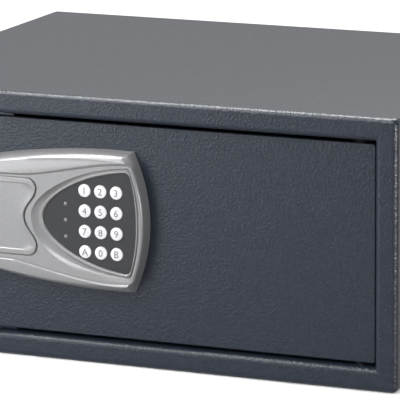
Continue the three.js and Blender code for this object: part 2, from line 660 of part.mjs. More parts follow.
function lockWork() {
  return new THREE.Group().add(
    node('lock_barrel', lockBarrel(), steel),
    node('lock_core', lockCore(), brass),
    node('knob', knob(), fasciaPaint),
    node('knob_shaft', knobShaft(), steel),
    node('bolt_cam', boltCam(), steel),
    node('bolt_bar', boltBar(), steel),
    node('bolt_upper', bolt(BOLT.zs[1]), steel),
    node('bolt_lower', bolt(BOLT.zs[0]), steel),
    node('bolt_guide', boltGuide(), steel),
    node('solenoid_body', solenoidBody(), blackPlastic),
    node('solenoid_plunger', solenoidPlunger(), steel),
  );
}

function electronics() {
  const group = new THREE.Group().add(
    node('control_board', controlBoard(), boardGreen),
    node('reset_button', resetButton(), redPlastic),
    node('battery_holder', batteryHolder(), blackPlastic),
    node('battery_lid', batteryLid(), blackPlastic),
  );
  for (let i = 0; i < CELL.count; i += 1) group.add(node(`battery_${i + 1}`, cell(i), cellLabel));
  return group;
}

const safe = new THREE.Group().add(cabinet(), doorShell(), fascia(), lockWork(), electronics());

export default safe;
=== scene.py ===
"""An in-room safe: surfaces, materials and studio. Shapes are worked out in millimetres, built in metres."""
import json
import math

import bmesh
import bpy
import numpy as np
from mathutils import Matrix, Vector
from mathutils.geometry import delaunay_2d_cdt


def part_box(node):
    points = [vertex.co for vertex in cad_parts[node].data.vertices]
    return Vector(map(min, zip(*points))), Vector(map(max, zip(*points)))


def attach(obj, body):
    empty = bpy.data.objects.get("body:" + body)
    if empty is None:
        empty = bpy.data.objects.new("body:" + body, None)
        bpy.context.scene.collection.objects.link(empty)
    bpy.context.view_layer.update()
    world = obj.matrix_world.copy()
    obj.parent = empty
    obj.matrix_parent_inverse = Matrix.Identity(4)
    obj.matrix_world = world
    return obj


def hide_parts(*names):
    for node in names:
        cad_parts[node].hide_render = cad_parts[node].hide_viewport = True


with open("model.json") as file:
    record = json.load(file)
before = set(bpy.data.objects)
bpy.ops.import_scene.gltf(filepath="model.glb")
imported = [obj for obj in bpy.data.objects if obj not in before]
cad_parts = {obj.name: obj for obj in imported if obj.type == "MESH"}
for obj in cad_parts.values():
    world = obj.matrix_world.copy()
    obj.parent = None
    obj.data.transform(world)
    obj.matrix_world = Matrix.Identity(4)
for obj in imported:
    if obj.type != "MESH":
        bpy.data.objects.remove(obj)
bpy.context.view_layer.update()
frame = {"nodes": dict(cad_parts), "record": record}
MM = 0.001


# ---------- sizes read from the frame ----------

def box_mm(node):
    """(lowest corner, highest corner) of a node in millimetres."""
    low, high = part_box(node)
    return np.array(low) / MM, np.array(high) / MM


def centre_mm(node):
    """(x, z) of a node's middle in millimetres."""
    low, high = box_mm(node)
    return (low[0] + high[0]) / 2, (low[2] + high[2]) / 2


WRAP_LOW, WRAP_HIGH = box_mm("body_wrap")
FRAME_LOW, FRAME_HIGH = box_mm("front_frame")
DOOR_LOW, DOOR_HIGH = box_mm("door_plate")
FASCIA_LOW, FASCIA_HIGH = box_mm("fascia_housing")
PAD_LOW, PAD_HIGH = box_mm("keypad_panel")
SERVICE_LOW, SERVICE_HIGH = box_mm("service_cover")
KNOB_LOW, KNOB_HIGH = box_mm("knob")

DOOR_FACE = DOOR_LOW[1]
AXIS_Z = (FASCIA_LOW[2] + FASCIA_HIGH[2]) / 2
KNOB_X = (KNOB_LOW[0] + KNOB_HIGH[0]) / 2
FLANGE = 17.0
EDGE_RADIUS = 4.2
SHEET = 2.0
OUTWARDS = (0, -1, 0)

# Heights on the fascia, measured outwards from the door's face.
PLATEAU = 11.4
RIDGE = 13.0
SEAT = 9.8
PAD_FACE = DOOR_FACE - PAD_LOW[1]


# ---------- mesh tools ----------

def make_object(name, vertices_mm, faces, materials, face_material=None, sharp=35, weld=0.002, smooth=True):
    """A mesh object from millimetre vertices, merged and with normals out.

    It is smooth but for edges over `sharp` degrees.
    """
    bm = bmesh.new()
    made = [bm.verts.new(Vector(v) * MM) for v in vertices_mm]
    for index, face in enumerate(faces):
        corners = [made[i] for i in face]
        if len(set(corners)) == len(corners):
            new = bm.faces.new(corners)
            new.material_index = face_material[index] if face_material else 0
    bmesh.ops.remove_doubles(bm, verts=bm.verts, dist=weld * MM)
    bmesh.ops.dissolve_degenerate(bm, dist=1e-7, edges=bm.edges)
    loose = [v for v in bm.verts if not v.link_faces]
    bmesh.ops.delete(bm, geom=loose, context="VERTS")
    bmesh.ops.recalc_face_normals(bm, faces=bm.faces)
    mesh = bpy.data.meshes.new(name)
    bm.to_mesh(mesh)
    bm.free()
    for material in materials:
        mesh.materials.append(material)
    if smooth:
        mesh.polygons.foreach_set("use_smooth", [True] * len(mesh.polygons))
        mesh.set_sharp_from_angle(angle=math.radians(sharp))
    piece = bpy.data.objects.new(name, mesh)
    bpy.context.scene.collection.objects.link(piece)
    if smooth:
        weighted = piece.modifiers.new("flat faces stay flat", "WEIGHTED_NORMAL")
        weighted.keep_sharp = True
    return piece


class Surface:
    """Collects vertices and faces, in millimetres."""

    def __init__(self):
        self.vertices = []
        self.faces = []
        self.materials = []

    def add(self, points, faces, material=0):
        start = len(self.vertices)
        self.vertices.extend(np.asarray(points, float))
        self.faces.extend([tuple(start + i for i in face) for face in faces])
        self.materials.extend([material] * len(faces))

    def loft(self, rings, material=0, closed=True):
        """Quads between neighbouring rings of equal length."""
        count = len(rings[0])
        last = count if closed else count - 1
        faces = []
        for r in range(len(rings) - 1):
            for i in range(last):
                j = (i + 1) % count
                faces.append((r * count + i, r * count + j, (r + 1) * count + j, (r + 1) * count + i))
        self.add(np.concatenate(rings), faces, material)

    def cap(self, ring, material=0):
        self.add(ring, [tuple(range(len(ring)))], material)

    def closed_loft(self, rings):
        """A loft with a cap on its first and its last ring."""
        self.loft(rings)
        self.cap(rings[0])
        self.cap(rings[-1])

    def fill(self, outer, holes, height, material=0):
        """The flat region between an outer loop and holes, all as (x, z), at one height on the fascia."""
        loops = [outer, *holes]
        points = [Vector((float(x), float(z))) for loop in loops for x, z in loop]
        edges, start = [], 0
        for loop in loops:
            n = len(loop)
            edges += [(start + i, start + (i + 1) % n) for i in range(n)]
            start += n
        found, _, triangles, *_ = delaunay_2d_cdt(points, edges, [], 1, 1e-5)
        kept = []
        for face in triangles:
            centre = sum((found[i] for i in face), Vector((0, 0))) / len(face)
            if inside(centre, outer) and not any(inside(centre, hole) for hole in holes):
                kept.append(tuple(face))
        self.add([at_height(p.x, p.y, height) for p in found], kept, material)

    def build(self, name, materials, **options):
        return make_object(name, self.vertices, self.faces, materials, self.materials, **options)


def inside(point, loop):
    """Whether an (x, z) point lies within a loop."""
    x, z = point
    a, b = np.asarray(loop), np.roll(loop, -1, axis=0)
    crosses = (a[:, 1] > z) != (b[:, 1] > z)
    with np.errstate(divide="ignore", invalid="ignore"):
        at = a[:, 0] + (z - a[:, 1]) / (b[:, 1] - a[:, 1]) * (b[:, 0] - a[:, 0])
    return bool(np.count_nonzero(crosses & (x < at)) % 2)


def at_height(x, z, height):
    """A point at one height above the door's face."""
    return (x, DOOR_FACE - height, z)


def raised(loop, height):
    """The points of an (x, z) loop at one height, or each at its own, above the door's face."""
    return np.column_stack([loop[:, 0], np.full(len(loop), DOOR_FACE - height), loop[:, 1]])


def bezier(p0, p1, p2, p3, count):
    """`count` points along a cubic curve, leaving out its end."""
    t = np.arange(count)[:, None] / count
    p0, p1, p2, p3 = (np.array(p, float) for p in (p0, p1, p2, p3))
    return (1 - t) ** 3 * p0 + 3 * (1 - t) ** 2 * t * p1 + 3 * (1 - t) * t ** 2 * p2 + t ** 3 * p3


def line(p0, p1, count):
    t = np.arange(count)[:, None] / count
    return np.array(p0, float) + t * (np.array(p1, float) - np.array(p0, float))


def mirrored(upper, centre, below=None):
    """A closed loop from its upper half, which runs from the right-hand end of the axis to the left-hand end.

    The lower half is the mirror image of `below`, or of the upper half.
    """
    lower = (upper if below is None else below)[1:-1][::-1].copy()
    lower[:, -1] = 2 * centre - lower[:, -1]
    return np.concatenate([upper, lower])


def rounded_rectangle(low, high, radius, steps=8):
    """A loop of (x, z) round a rectangle, anticlockwise from its right side's lower end."""
    centres = [(high[0] - radius, low[1] + radius, -90), (high[0] - radius, high[1] - radius, 0),
               (low[0] + radius, high[1] - radius, 90), (low[0] + radius, low[1] + radius, 180)]
    loop = []
    for x, z, start in centres:
        for i in range(steps + 1):
            a = math.radians(start + 90 * i / steps)
            loop.append((x + radius * math.cos(a), z + radius * math.sin(a)))
    return np.array(loop)


def circle(x, z, radius, count=64):
    a = np.arange(count) / count * 2 * math.pi
    return np.stack([x + radius * np.cos(a), z + radius * np.sin(a)], axis=1)


def turned(profile, centre, axis, count=64):
    """Rings of a body turned about an axis: `profile` is [(radius, distance along the axis)]."""
    axis = np.array(axis, float)
    side = np.cross(axis, (0.0, 0.0, 1.0) if abs(axis[2]) < 0.9 else (1.0, 0.0, 0.0))
    other = np.cross(axis, side)
    a = np.arange(count) / count * 2 * math.pi
    ring = np.cos(a)[:, None] * side + np.sin(a)[:, None] * other
    return [np.array(centre) + axis * along + ring * max(radius, 1e-4) for radius, along in profile]


def arc(centre, radius, start, end, steps):
    """Points of a profile's round corner, in degrees."""
    angles = [math.radians(start + (end - start) * i / steps) for i in range(steps + 1)]
    return [(centre[0] + radius * math.cos(a), centre[1] + radius * math.sin(a)) for a in angles]


def turned_piece(name, profile, centre, axis, materials, count=64, **options):
    surface = Surface()
    surface.closed_loft(turned(profile, centre, axis, count))
    return surface.build(name, materials, **options)


def place(piece, body, slot, *nodes):
    """Hands a piece to its body, in place of the nodes named."""
    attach(piece, body)
    if nodes:
        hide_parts(*nodes)
    return piece


# ---------- materials ----------

class Nodes:
    """A new material and short ways to add its nodes."""

    def __init__(self, name):
        self.material = bpy.data.materials.new(name)
        self.material.use_nodes = True
        self.tree = self.material.node_tree
        self.shader = self.tree.nodes["Principled BSDF"]
        self.place = self.tree.nodes.new("ShaderNodeTexCoord").outputs["Object"]

    def add(self, kind, inputs=None, **settings):
        made = self.tree.nodes.new(kind)
        for key, value in settings.items():
            setattr(made, key, value)
        for key, value in (inputs or {}).items():
            if isinstance(value, bpy.types.NodeSocket):
                self.tree.links.new(value, made.inputs[key])
            else:
                made.inputs[key].default_value = value
        return made

    def noise(self, scale, detail=2.0, roughness=0.5, place=None, distortion=0.0):
        inputs = {"Vector": place or self.place, "Scale": scale, "Detail": detail,
                  "Roughness": roughness, "Distortion": distortion}
        return self.add("ShaderNodeTexNoise", inputs).outputs["Fac"]

    def ramp(self, factor, low, high, start=0.3, end=0.7):
        made = self.add("ShaderNodeValToRGB", {"Fac": factor})
        made.color_ramp.elements[0].position = start
        made.color_ramp.elements[1].position = end
        made.color_ramp.elements[0].color = (*low, 1)
        made.color_ramp.elements[1].color = (*high, 1)
        return made.outputs["Color"]

    def span(self, factor, low, high):
        made = self.add("ShaderNodeMapRange", {"Value": factor, "To Min": low, "To Max": high})
        return made.outputs["Result"]

    def bump(self, height, strength, distance, normal=None):
        inputs = {"Height": height, "Strength": strength, "Distance": distance}
        if normal is not None:
            inputs["Normal"] = normal
        return self.add("ShaderNodeBump", inputs).outputs["Normal"]

    def set(self, **inputs):
        for key, value in inputs.items():
            socket = self.shader.inputs[key.replace("_", " ")]
            if isinstance(value, bpy.types.NodeSocket):
                self.tree.links.new(value, socket)
            else:
                socket.default_value = value
        return self.material


def shade(colour, factor):
    return tuple(min(1.0, c * factor) for c in colour)


def cabinet_paint():
    """Dark blue-grey textured powder coat: small leathery cells under a semi-gloss skin."""
    n = Nodes("cabinet_paint")
    colour = (0.0145, 0.0205, 0.0325)
    shift = n.add("ShaderNodeTexNoise", {"Vector": n.place, "Scale": 500.0}).outputs["Color"]
    warped = n.add("ShaderNodeMix", {"Factor": 0.0012, "A": n.place, "B": shift},
                   data_type="VECTOR").outputs["Result"]
    cells = n.add("ShaderNodeTexVoronoi", {"Vector": warped, "Scale": 560.0, "Smoothness": 0.35},
                  feature="SMOOTH_F1").outputs["Distance"]
    fine = n.noise(1500.0, 3.0, 0.6)
    patches = n.noise(70.0, 3.0, 0.55)
    mottle = n.noise(420.0, 2.0, 0.55)
    base = n.ramp(mottle, shade(colour, 0.88), shade(colour, 1.14), 0.35, 0.65)
    depth = n.add("ShaderNodeMath", {0: cells, 1: n.span(patches, 0.35, 1.25)}, operation="MULTIPLY")
    skin = n.bump(depth.outputs[0], 0.44, 0.0006)
    grain = n.bump(fine, 0.24, 0.0003, skin)
    return n.set(Base_Color=base, Roughness=n.span(mottle, 0.27, 0.40), Normal=grain,
                 Specular_IOR_Level=0.23)


def fascia_silver():
    """Silver-grey satin lacquer with a very fine metallic grain."""
    n = Nodes("fascia_silver")
    colour = (0.245, 0.247, 0.252)
    grain = n.noise(2600.0, 2.0, 0.6)
    broad = n.noise(14.0, 3.0, 0.5)
    base = n.ramp(grain, shade(colour, 0.94), shade(colour, 1.05), 0.3, 0.7)
    worn = n.add("ShaderNodeMix", {"Factor": n.span(broad, 0.0, 0.08), "A": base, "B": (0.23, 0.23, 0.24, 1)},
                 data_type="RGBA")
    return n.set(Base_Color=worn.outputs["Result"], Roughness=n.span(grain, 0.22, 0.32), Metallic=0.05,
                 Normal=n.bump(grain, 0.05, 0.0002), Specular_IOR_Level=0.35)


def plain_plastic(name, colour, roughness, grain_scale=1800.0, grain_depth=0.0002, specular=0.5):
    """Moulded plastic with a fine spark-eroded grain and faint uneven gloss."""
    n = Nodes(name)
    grain = n.noise(grain_scale, 3.0, 0.6)
    broad = n.noise(40.0, 2.0, 0.5)
    base = n.ramp(broad, shade(colour, 0.94), shade(colour, 1.06), 0.3, 0.7)
    return n.set(Base_Color=base, Roughness=n.span(grain, roughness - 0.06, roughness + 0.06),
                 Normal=n.bump(grain, 0.12, grain_depth), Specular_IOR_Level=specular)


def zinc_steel():
    """Zinc-plated steel: drawn along X with cloudy passivation."""
    n = Nodes("zinc_steel")
    stretched = n.add("ShaderNodeMapping", {"Vector": n.place, "Scale": (0.06, 1.0, 1.0)}).outputs["Vector"]
    lines = n.noise(1400.0, 3.0, 0.6, stretched)
    cloud = n.noise(60.0, 4.0, 0.6)
    base = n.ramp(cloud, (0.50, 0.50, 0.51), (0.66, 0.65, 0.62), 0.3, 0.7)
    return n.set(Base_Color=base, Roughness=n.span(lines, 0.24, 0.42), Metallic=1.0,
                 Normal=n.bump(lines, 0.10, 0.0002))


def turned_brass():
    """Brass with fine turning rings and a cloudy tarnish."""
    n = Nodes("turned_brass")
    rings = n.add("ShaderNodeTexWave", {"Vector": n.place, "Scale": 420.0, "Distortion": 0.4}).outputs["Fac"]
    tarnish = n.noise(120.0, 4.0, 0.6)
    base = n.ramp(tarnish, (0.46, 0.33, 0.13), (0.66, 0.50, 0.22), 0.3, 0.7)
    return n.set(Base_Color=base, Roughness=n.span(tarnish, 0.22, 0.40), Metallic=1.0,
                 Normal=n.bump(rings, 0.05, 0.0002))


def felt_cloth():
    """Needled felt: short fibres in all directions with pale flecks."""
    n = Nodes("felt")
    fibres = n.noise(1500.0, 6.0, 0.75, distortion=1.5)
    clumps = n.noise(220.0, 3.0, 0.6)
    base = n.ramp(fibres, (0.018, 0.019, 0.022), (0.060, 0.062, 0.068), 0.35, 0.72)
    tuft = n.bump(clumps, 0.5, 0.0008)
    return n.set(Base_Color=base, Roughness=0.95, Normal=n.bump(fibres, 0.8, 0.0006, tuft), Sheen_Weight=0.3,
                 Specular_IOR_Level=0.2)


def board_green():
    """Solder mask with faint copper tracks showing through."""
    n = Nodes("board_green")
    layout = {"Vector": n.place, "Scale": 120.0, "Mortar Size": 0.03, "Mortar": (0.03, 0.20, 0.09, 1),
              "Color1": (0.012, 0.10, 0.045, 1), "Color2": (0.016, 0.12, 0.055, 1)}
    tracks = n.add("ShaderNodeTexBrick", layout).outputs["Color"]
    return n.set(Base_Color=tracks, Roughness=n.span(n.noise(700.0), 0.28, 0.42))


def cell_sleeve():
    """Battery sleeve: a dark body with a copper-coloured band at one end, set by height along the cell."""
    n = Nodes("cell_sleeve")
    low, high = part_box("battery_1")
    height = n.add("ShaderNodeSeparateXYZ", {"Vector": n.place}).outputs["Z"]
    share = n.add("ShaderNodeMapRange", {"Value": height, "From Min": low.z, "From Max": high.z})
    base = n.add("ShaderNodeValToRGB", {"Fac": share.outputs["Result"]})
    bands = base.color_ramp
    bands.interpolation = "CONSTANT"
    bands.elements[0].position, bands.elements[0].color = 0.0, (0.55, 0.55, 0.56, 1)
    bands.elements[1].position, bands.elements[1].color = 0.03, (0.03, 0.10, 0.07, 1)
    for position, colour in ((0.70, (0.52, 0.30, 0.12, 1)), (0.965, (0.6, 0.6, 0.61, 1))):
        bands.elements.new(position).color = colour
    return n.set(Base_Color=base.outputs["Color"], Roughness=n.span(n.noise(900.0), 0.22, 0.34),
                 Metallic=0.35)


def pale_floor():
    """A seamless white floor, evened out by a little light of its own."""
    n = Nodes("studio_floor")
    base = n.ramp(n.noise(3.0, 2.0), (0.90, 0.90, 0.90), (0.93, 0.93, 0.93))
    return n.set(Base_Color=base, Roughness=0.9, Specular_IOR_Level=0.1, Emission_Color=(1, 1, 1, 1),
                 Emission_Strength=0.2)


MATERIALS = {
    "cabinet_paint": cabinet_paint(),
    "fascia_paint": fascia_silver(),
    "pad_plastic": plain_plastic("pad_plastic", (0.023, 0.024, 0.026), 0.50, specular=0.25),
    "key_plastic": plain_plastic("key_plastic", (0.70, 0.685, 0.71), 0.42),
    "legend": plain_plastic("key_legend", (0.12, 0.12, 0.13), 0.5),
    "lens": plain_plastic("lens", (0.16, 0.16, 0.165), 0.25),
    "steel": zinc_steel(),
    "brass": turned_brass(),
    "black_plastic": plain_plastic("black_plastic", (0.020, 0.020, 0.022), 0.45),
    "red_plastic": plain_plastic("red_plastic", (0.36, 0.03, 0.02), 0.35),
    # Near-black, dull washer material: painted shade, so the hinge washers read as the dark shade inside the
    # door's gap.
    "washer": plain_plastic("washer", (0.008, 0.008, 0.009), 0.8, specular=0.1),
    "board": board_green(),
    "cell": cell_sleeve(),
    "felt": felt_cloth(),
}


# ---------- cabinet ----------

CABINET_CORNER = 5.0     # outer radius of the four bends that run from front to back
SHARPEST_CORNER = 0.7
SIDE_RETURN = 14.0       # how far the side flanges turn back into the doorway
FIXING_HOLES = [(x, y) for y in (-90, 110) for x in (-150, 150)]
FIXING_HOLE_RADIUS = 5.0


def shell_ring(inset, y_side, y_long=None):
    """A ring round the cabinet, `inset` in from its outside.

    Its depth is y_side along the short sides, and y_long along the long ones where it is given.
    """
    radius = max(CABINET_CORNER - inset, SHARPEST_CORNER)
    low = (WRAP_LOW[0] + inset, WRAP_LOW[2] + inset)
    high = (WRAP_HIGH[0] - inset, WRAP_HIGH[2] - inset)
    steps = 8
    loop = rounded_rectangle(low, high, radius, steps)
    ring = []
    for index, (x, z) in enumerate(loop):
        corner, step = divmod(index, steps + 1)
        near_long_side = step >= steps / 2 if corner in (1, 3) else step < steps / 2
        y = y_long if y_long is not None and near_long_side else y_side
        ring.append((x, y, z))
    return np.array(ring)


def cabinet_shell():
    """The bent sheet: outside, rounded front edges, flange, return into the doorway, and inside."""
    front, back = FRAME_LOW[1], WRAP_HIGH[1]
    behind_flange = front + SHEET + 0.5
    r, quarter = EDGE_RADIUS, np.linspace(0, math.pi / 2, 9)
    outside = [shell_ring(0, back), shell_ring(0, front + r + 1)]
    outside += [shell_ring(r - r * math.cos(a), front + r - r * math.sin(a)) for a in quarter]
    flange = [shell_ring(FLANGE - r + r * math.sin(a), front + r - r * math.cos(a)) for a in quarter]
    lip = SHEET / 2
    side_end, long_end = front + SIDE_RETURN - lip, FRAME_HIGH[1] - lip
    turned_in = [shell_ring(FLANGE, side_end, long_end)]
    for a in np.linspace(0.3, math.pi - 0.3, 5):
        out, on = lip * math.cos(a), lip * math.sin(a)
        turned_in.append(shell_ring(FLANGE - lip + out, side_end + on, long_end + on))
    turned_in.append(shell_ring(FLANGE - SHEET, side_end, long_end))
    inner = [shell_ring(FLANGE - SHEET, behind_flange)]
    inner += [shell_ring(SHEET, y) for y in (behind_flange, front + 20, back)]
    surface = Surface()
    surface.loft([*outside, *flange, *turned_in, *inner, outside[0]])
    shell = surface.build("cabinet_shell", [MATERIALS["cabinet_paint"]])
    cut_fixing_holes(shell)
    return place(shell, "cabinet", "cabinet_paint", "body_wrap", "front_frame")


def cut_fixing_holes(shell):
    """Cuts the round fixing holes through the base sheet."""
    surface = Surface()
    pin = [(FIXING_HOLE_RADIUS, -5.0), (FIXING_HOLE_RADIUS, 5.0)]
    for x, y in FIXING_HOLES:
        surface.closed_loft(turned(pin, (x, y, WRAP_LOW[2]), (0, 0, 1), 32))
    tool = surface.build("hole_tool", [], smooth=False)
    boolean = shell.modifiers.new("fixing holes", "BOOLEAN")
    boolean.object = tool
    boolean.operation = "DIFFERENCE"
    boolean.solver = "EXACT"
    shell.modifiers.move(len(shell.modifiers) - 1, 0)
    bpy.context.view_layer.update()
    evaluated = shell.evaluated_get(bpy.context.evaluated_depsgraph_get())
    mesh = bpy.data.meshes.new_from_object(evaluated)
    shell.modifiers.clear()
    shell.data = mesh
    bpy.data.objects.remove(tool)


def flange_weld(name, side):
    """The low ground-down bead where the top flange meets a side flange."""
    half_width, rise, steps = 0.65, 0.16, 12
    x = side * (WRAP_HIGH[0] - FLANGE - 2.4)
    top, bottom = WRAP_HIGH[2] - 2.5, WRAP_HIGH[2] - FLANGE + 2.5
    y = FRAME_LOW[1]
    rings = []
    for step in range(steps + 1):
        share = step / steps
        z = bottom + (top - bottom) * share
        sway = 0.12 * math.sin(share * 17) + 0.08 * math.sin(share * 41)
        height = rise * math.sin(math.pi * min(1, 6 * min(share, 1 - share)) / 2)
        ring = [(x + sway + half_width * math.cos(a), y + 0.05 - height * math.sin(a), z)
                for a in np.linspace(0, math.pi, 7)]
        rings.append(np.array(ring + [(x + sway, y + 0.3, z)]))
    surface = Surface()
    surface.closed_loft(rings)
    return place(surface.build(name, [MATERIALS["cabinet_paint"]]), "cabinet", "cabinet_paint")


# ---------- door ----------

DOOR_CORNER = 2.2


def door_ring(inset, y):
    """A ring round the door plate, `inset` in from its outline."""
    low, high = DOOR_LOW, DOOR_HIGH
    loop = rounded_rectangle((low[0] + inset, low[2] + inset), (high[0] - inset, high[2] - inset),
                             DOOR_CORNER - inset, 5)
    return np.array([(x, y, z) for x, z in loop])


def door_leaf():
    """The flat door plate with softly broken edges: round at the front, bevelled at the back."""
    front, back, radius, bevel = DOOR_LOW[1], DOOR_HIGH[1], 1.1, 0.5
    rings = [door_ring(radius - radius * math.sin(a), front + radius - radius * math.cos(a))
             for a in np.linspace(0, math.pi / 2, 6)]
    rings += [door_ring(0, back - bevel), door_ring(bevel, back)]
    surface = Surface()
    surface.closed_loft(rings)
    leaf = surface.build("door_leaf", [MATERIALS["cabinet_paint"]])
    return place(leaf, "door", "cabinet_paint", "door_plate")


# ---------- fascia ----------

SEGMENT = 24       # points along one curve of an outline
BEND = 10          # points round one tight corner
CORNER_Z = 52.6    # half height of the fascia at its right-hand corners
FACET_Z = 42.6     # the slanted corner facet starts this far from the axis
END_BOW = 12.2     # how far the right-hand end's arc falls back at the corners

# (distance in from the outline, height): a steep flank that rounds over to a gently rising shoulder.
LONG_EDGE = [(0, 0), (0.35, 1.9), (0.8, 3.9), (1.4, 5.8), (2.1, 7.4), (3.0, 8.8), (4.0, 10.0), (5.0, 11.0),
             (5.9, 11.6)]
# Share of the remaining way to the crease, and height.
SHOULDER_RISE = [(0.3, 11.9), (0.7, 12.15)]
# (distance short of the crease, height): down a slope and through a fine groove to the sunk middle.
CREASE = [(1.9, 12.25), (1.5, 12.1), (1.1, 11.85), (0.5, 11.45), (0.1, 10.95), (-0.2, PLATEAU)]
# (distance in from the arc, height) up the right-hand end wall, with as many steps as the three lists above.
END_WALL = [(0, 0), (0.05, 1.7), (0.1, 3.4), (0.15, 5.1), (0.2, 6.8), (0.27, 8.5), (0.36, 10.2), (0.5, 11.2),
            (0.75, 12.0), (1.1, 12.5), (1.6, 12.8), (2.2, RIDGE), (2.6, 12.9), (3.0, 12.6), (3.4, 12.2),
            (3.8, 11.8), (4.2, PLATEAU)]
# How far the shoulder stays back from the end wall: (progress from the outline to the crease, distance).
SETBACK = [(0, 0.0), (4.2, 6.2), (8.0, 3.4)]


def arc_x(z):
    """x of the right-hand end's arc at a height above or below the axis."""
    return FASCIA_HIGH[0] - END_BOW * (abs(z) / CORNER_Z) ** 2


def long_edge(count):
    """The outline's upper long edge, from its right-hand corner round to the left-hand end of the axis."""
    left, z = FASCIA_LOW[0], AXIS_Z
    corner = (arc_x(CORNER_Z), z + CORNER_Z)
    return np.concatenate([
        bezier(corner, (-25, z + 54.2), (-65, z + 50.6), (-100, z + 44.3), 2 * count),
        bezier((-100, z + 44.3), (-117, z + 41.2), (-128, z + 40.5), (-144, z + 40.5), count),
        bezier((-144, z + 40.5), (-170, z + 40.5), (left, z + 24), (left, z), 2 * count),
        np.array([(left, z)]),
    ])


# Distances of the crease from the axis: at its right-hand end, at two guide points and beside the cover.
UPPER_CREASE = (44.0, 43.6, 31.1, 31.0)
LOWER_CREASE = (44.5, 47.3, 37.4, 32.8)


def long_crease(count, spread):
    """The crease along the sunk middle, as if above the axis, matched point for point with the long edge."""
    z = AXIS_Z
    end, near, far, straight = (z + distance for distance in spread)
    return np.concatenate([
        bezier((FASCIA_HIGH[0] - 9.8, end), (-24, near), (-55, far), (-84, straight), 2 * count),
        line((-84, straight), (-146, z + 31.0), count),
        bezier((-146, z + 31.0), (-165, z + 31.0), (-176, z + 18), (-176, z), 2 * count),
        np.array([(-176, z)]),
    ])


def half_ring(spread, inset, share, short, height, wall_inset, wall_height):
    """Half a ring of the fascia's edge: up the end wall, over the corner facet and back along the long edge.

    The long part lies `inset` in from the outline, then `share` of the way on to `short` mm from the crease.
    """
    edge, crease = long_edge(SEGMENT), long_crease(SEGMENT, spread)
    across = crease - edge
    length = np.linalg.norm(across, axis=1, keepdims=True)
    start = np.minimum(inset / length, 1.0)
    along = edge + across * (start + (1 - short / length - start) * share)
    if short > 0:
        progress = min(inset, 5.0) + 3 * share
        near_wall = np.clip(1 - np.arange(len(along)) / SEGMENT, 0, 1) ** 2
        along[:, 0] -= np.interp(progress, *zip(*SETBACK)) * near_wall
    long_points = raised(along, height)
    rises = np.linspace(0, FACET_Z, SEGMENT + 1)
    wall = np.array([at_height(arc_x(z) - wall_inset, AXIS_Z + z, wall_height) for z in rises])
    facet = wall[-1] + (long_points[0] - wall[-1]) * np.linspace(0, 1, 7)[1:-1, None]
    return np.concatenate([wall, facet, long_points])


def fascia_rings():
    """The rings from the fascia's foot on the door to its sunk middle."""
    foot, last = CREASE[0][0], LONG_EDGE[-1][0]
    steps = [(inset, 0.0, foot, height) for inset, height in LONG_EDGE]
    steps += [(last, share, foot, height) for share, height in SHOULDER_RISE]
    steps += [(last, 1.0, short, height) for short, height in CREASE]
    return [mirrored(half_ring(UPPER_CREASE, *step, *wall), AXIS_Z, half_ring(LOWER_CREASE, *step, *wall))
            for step, wall in zip(steps, END_WALL)]


PAD_CENTRE = (PAD_LOW[2] + PAD_HIGH[2]) / 2
PAD_HALF = (PAD_HIGH[2] - PAD_LOW[2]) / 2
HOLLOW_LEFT, HOLLOW_RIGHT = 10.0, 2.3    # width of the hollow at either end of the keypad


def pad_edge(grow=0.0):
    """The keypad's D-shaped edge."""
    left, right, z = PAD_LOW[0] - grow, PAD_HIGH[0] + grow, PAD_CENTRE
    top = z + PAD_HALF + grow
    parts = [
        bezier((right, z), (right, z + 14), (right - 1.8, z + 24), (right - 4.2, top - 4.5), SEGMENT),
        bezier((right - 4.2, top - 4.5), (right - 4.9, top - 1.6), (right - 6.4, top), (right - 9.2, top),
               BEND),
        bezier((right - 9.2, top), (-30, z + 34 + grow), (left, z + 15 + grow), (left, z), 2 * SEGMENT),
        np.array([(left, z)]),
    ]
    return mirrored(np.concatenate(parts), z)


def half_bezel(half, near, far):
    """Half of the bezel's edge: its half height, and the guide points `near` its corner and `far` from it."""
    left, right, z = PAD_LOW[0] - HOLLOW_LEFT, PAD_HIGH[0] + HOLLOW_RIGHT, PAD_CENTRE
    top = z + half
    return np.concatenate([
        bezier((right, z), (right, z + 16), (right - 1.8, z + 27), (right - 4.4, z + 39.0), SEGMENT),
        bezier((right - 4.4, z + 39.0), (right - 4.8, top - 0.6), (right - 6.0, top), (right - 9.0, top),
               BEND),
        bezier((right - 9.0, top), (near[0], z + near[1]), (left, z + far), (left, z), 2 * SEGMENT),
        np.array([(left, z)]),
    ])


def bezel_edge():
    """Where the hollow round the keypad starts, point for point with the keypad's edge. It is wider below."""
    return mirrored(half_bezel(41.6, (-32, 38.6), 18), PAD_CENTRE, half_bezel(43.4, (-38, 44.5), 23))


# Share of the way in from the bezel's edge to the keypad's, and height above the sunk middle: a sloping
# hollow, then a raised lip.
WIDE_BEZEL = [(0, 0), (0.06, -0.5), (0.16, -1.3), (0.28, -2.1), (0.42, -2.7), (0.54, -2.9), (0.61, -2.3),
              (0.66, -1.0), (0.71, 0.1), (0.77, 0.5), (0.84, 0.55), (0.92, 0.3), (0.97, -0.2), (1.0, -0.9),
              (1.0, -4.0)]
# The same where it is narrow, beside the end wall.
NARROW_BEZEL = [(0, 0), (0.03, -0.05), (0.08, -0.2), (0.14, -0.4), (0.20, -0.55), (0.26, -0.6), (0.31, -0.5),
                (0.37, -0.2), (0.43, 0.15), (0.52, 0.4), (0.70, 0.5), (0.86, 0.35), (0.95, 0.0), (1.0, -0.5),
                (1.0, -4.0)]
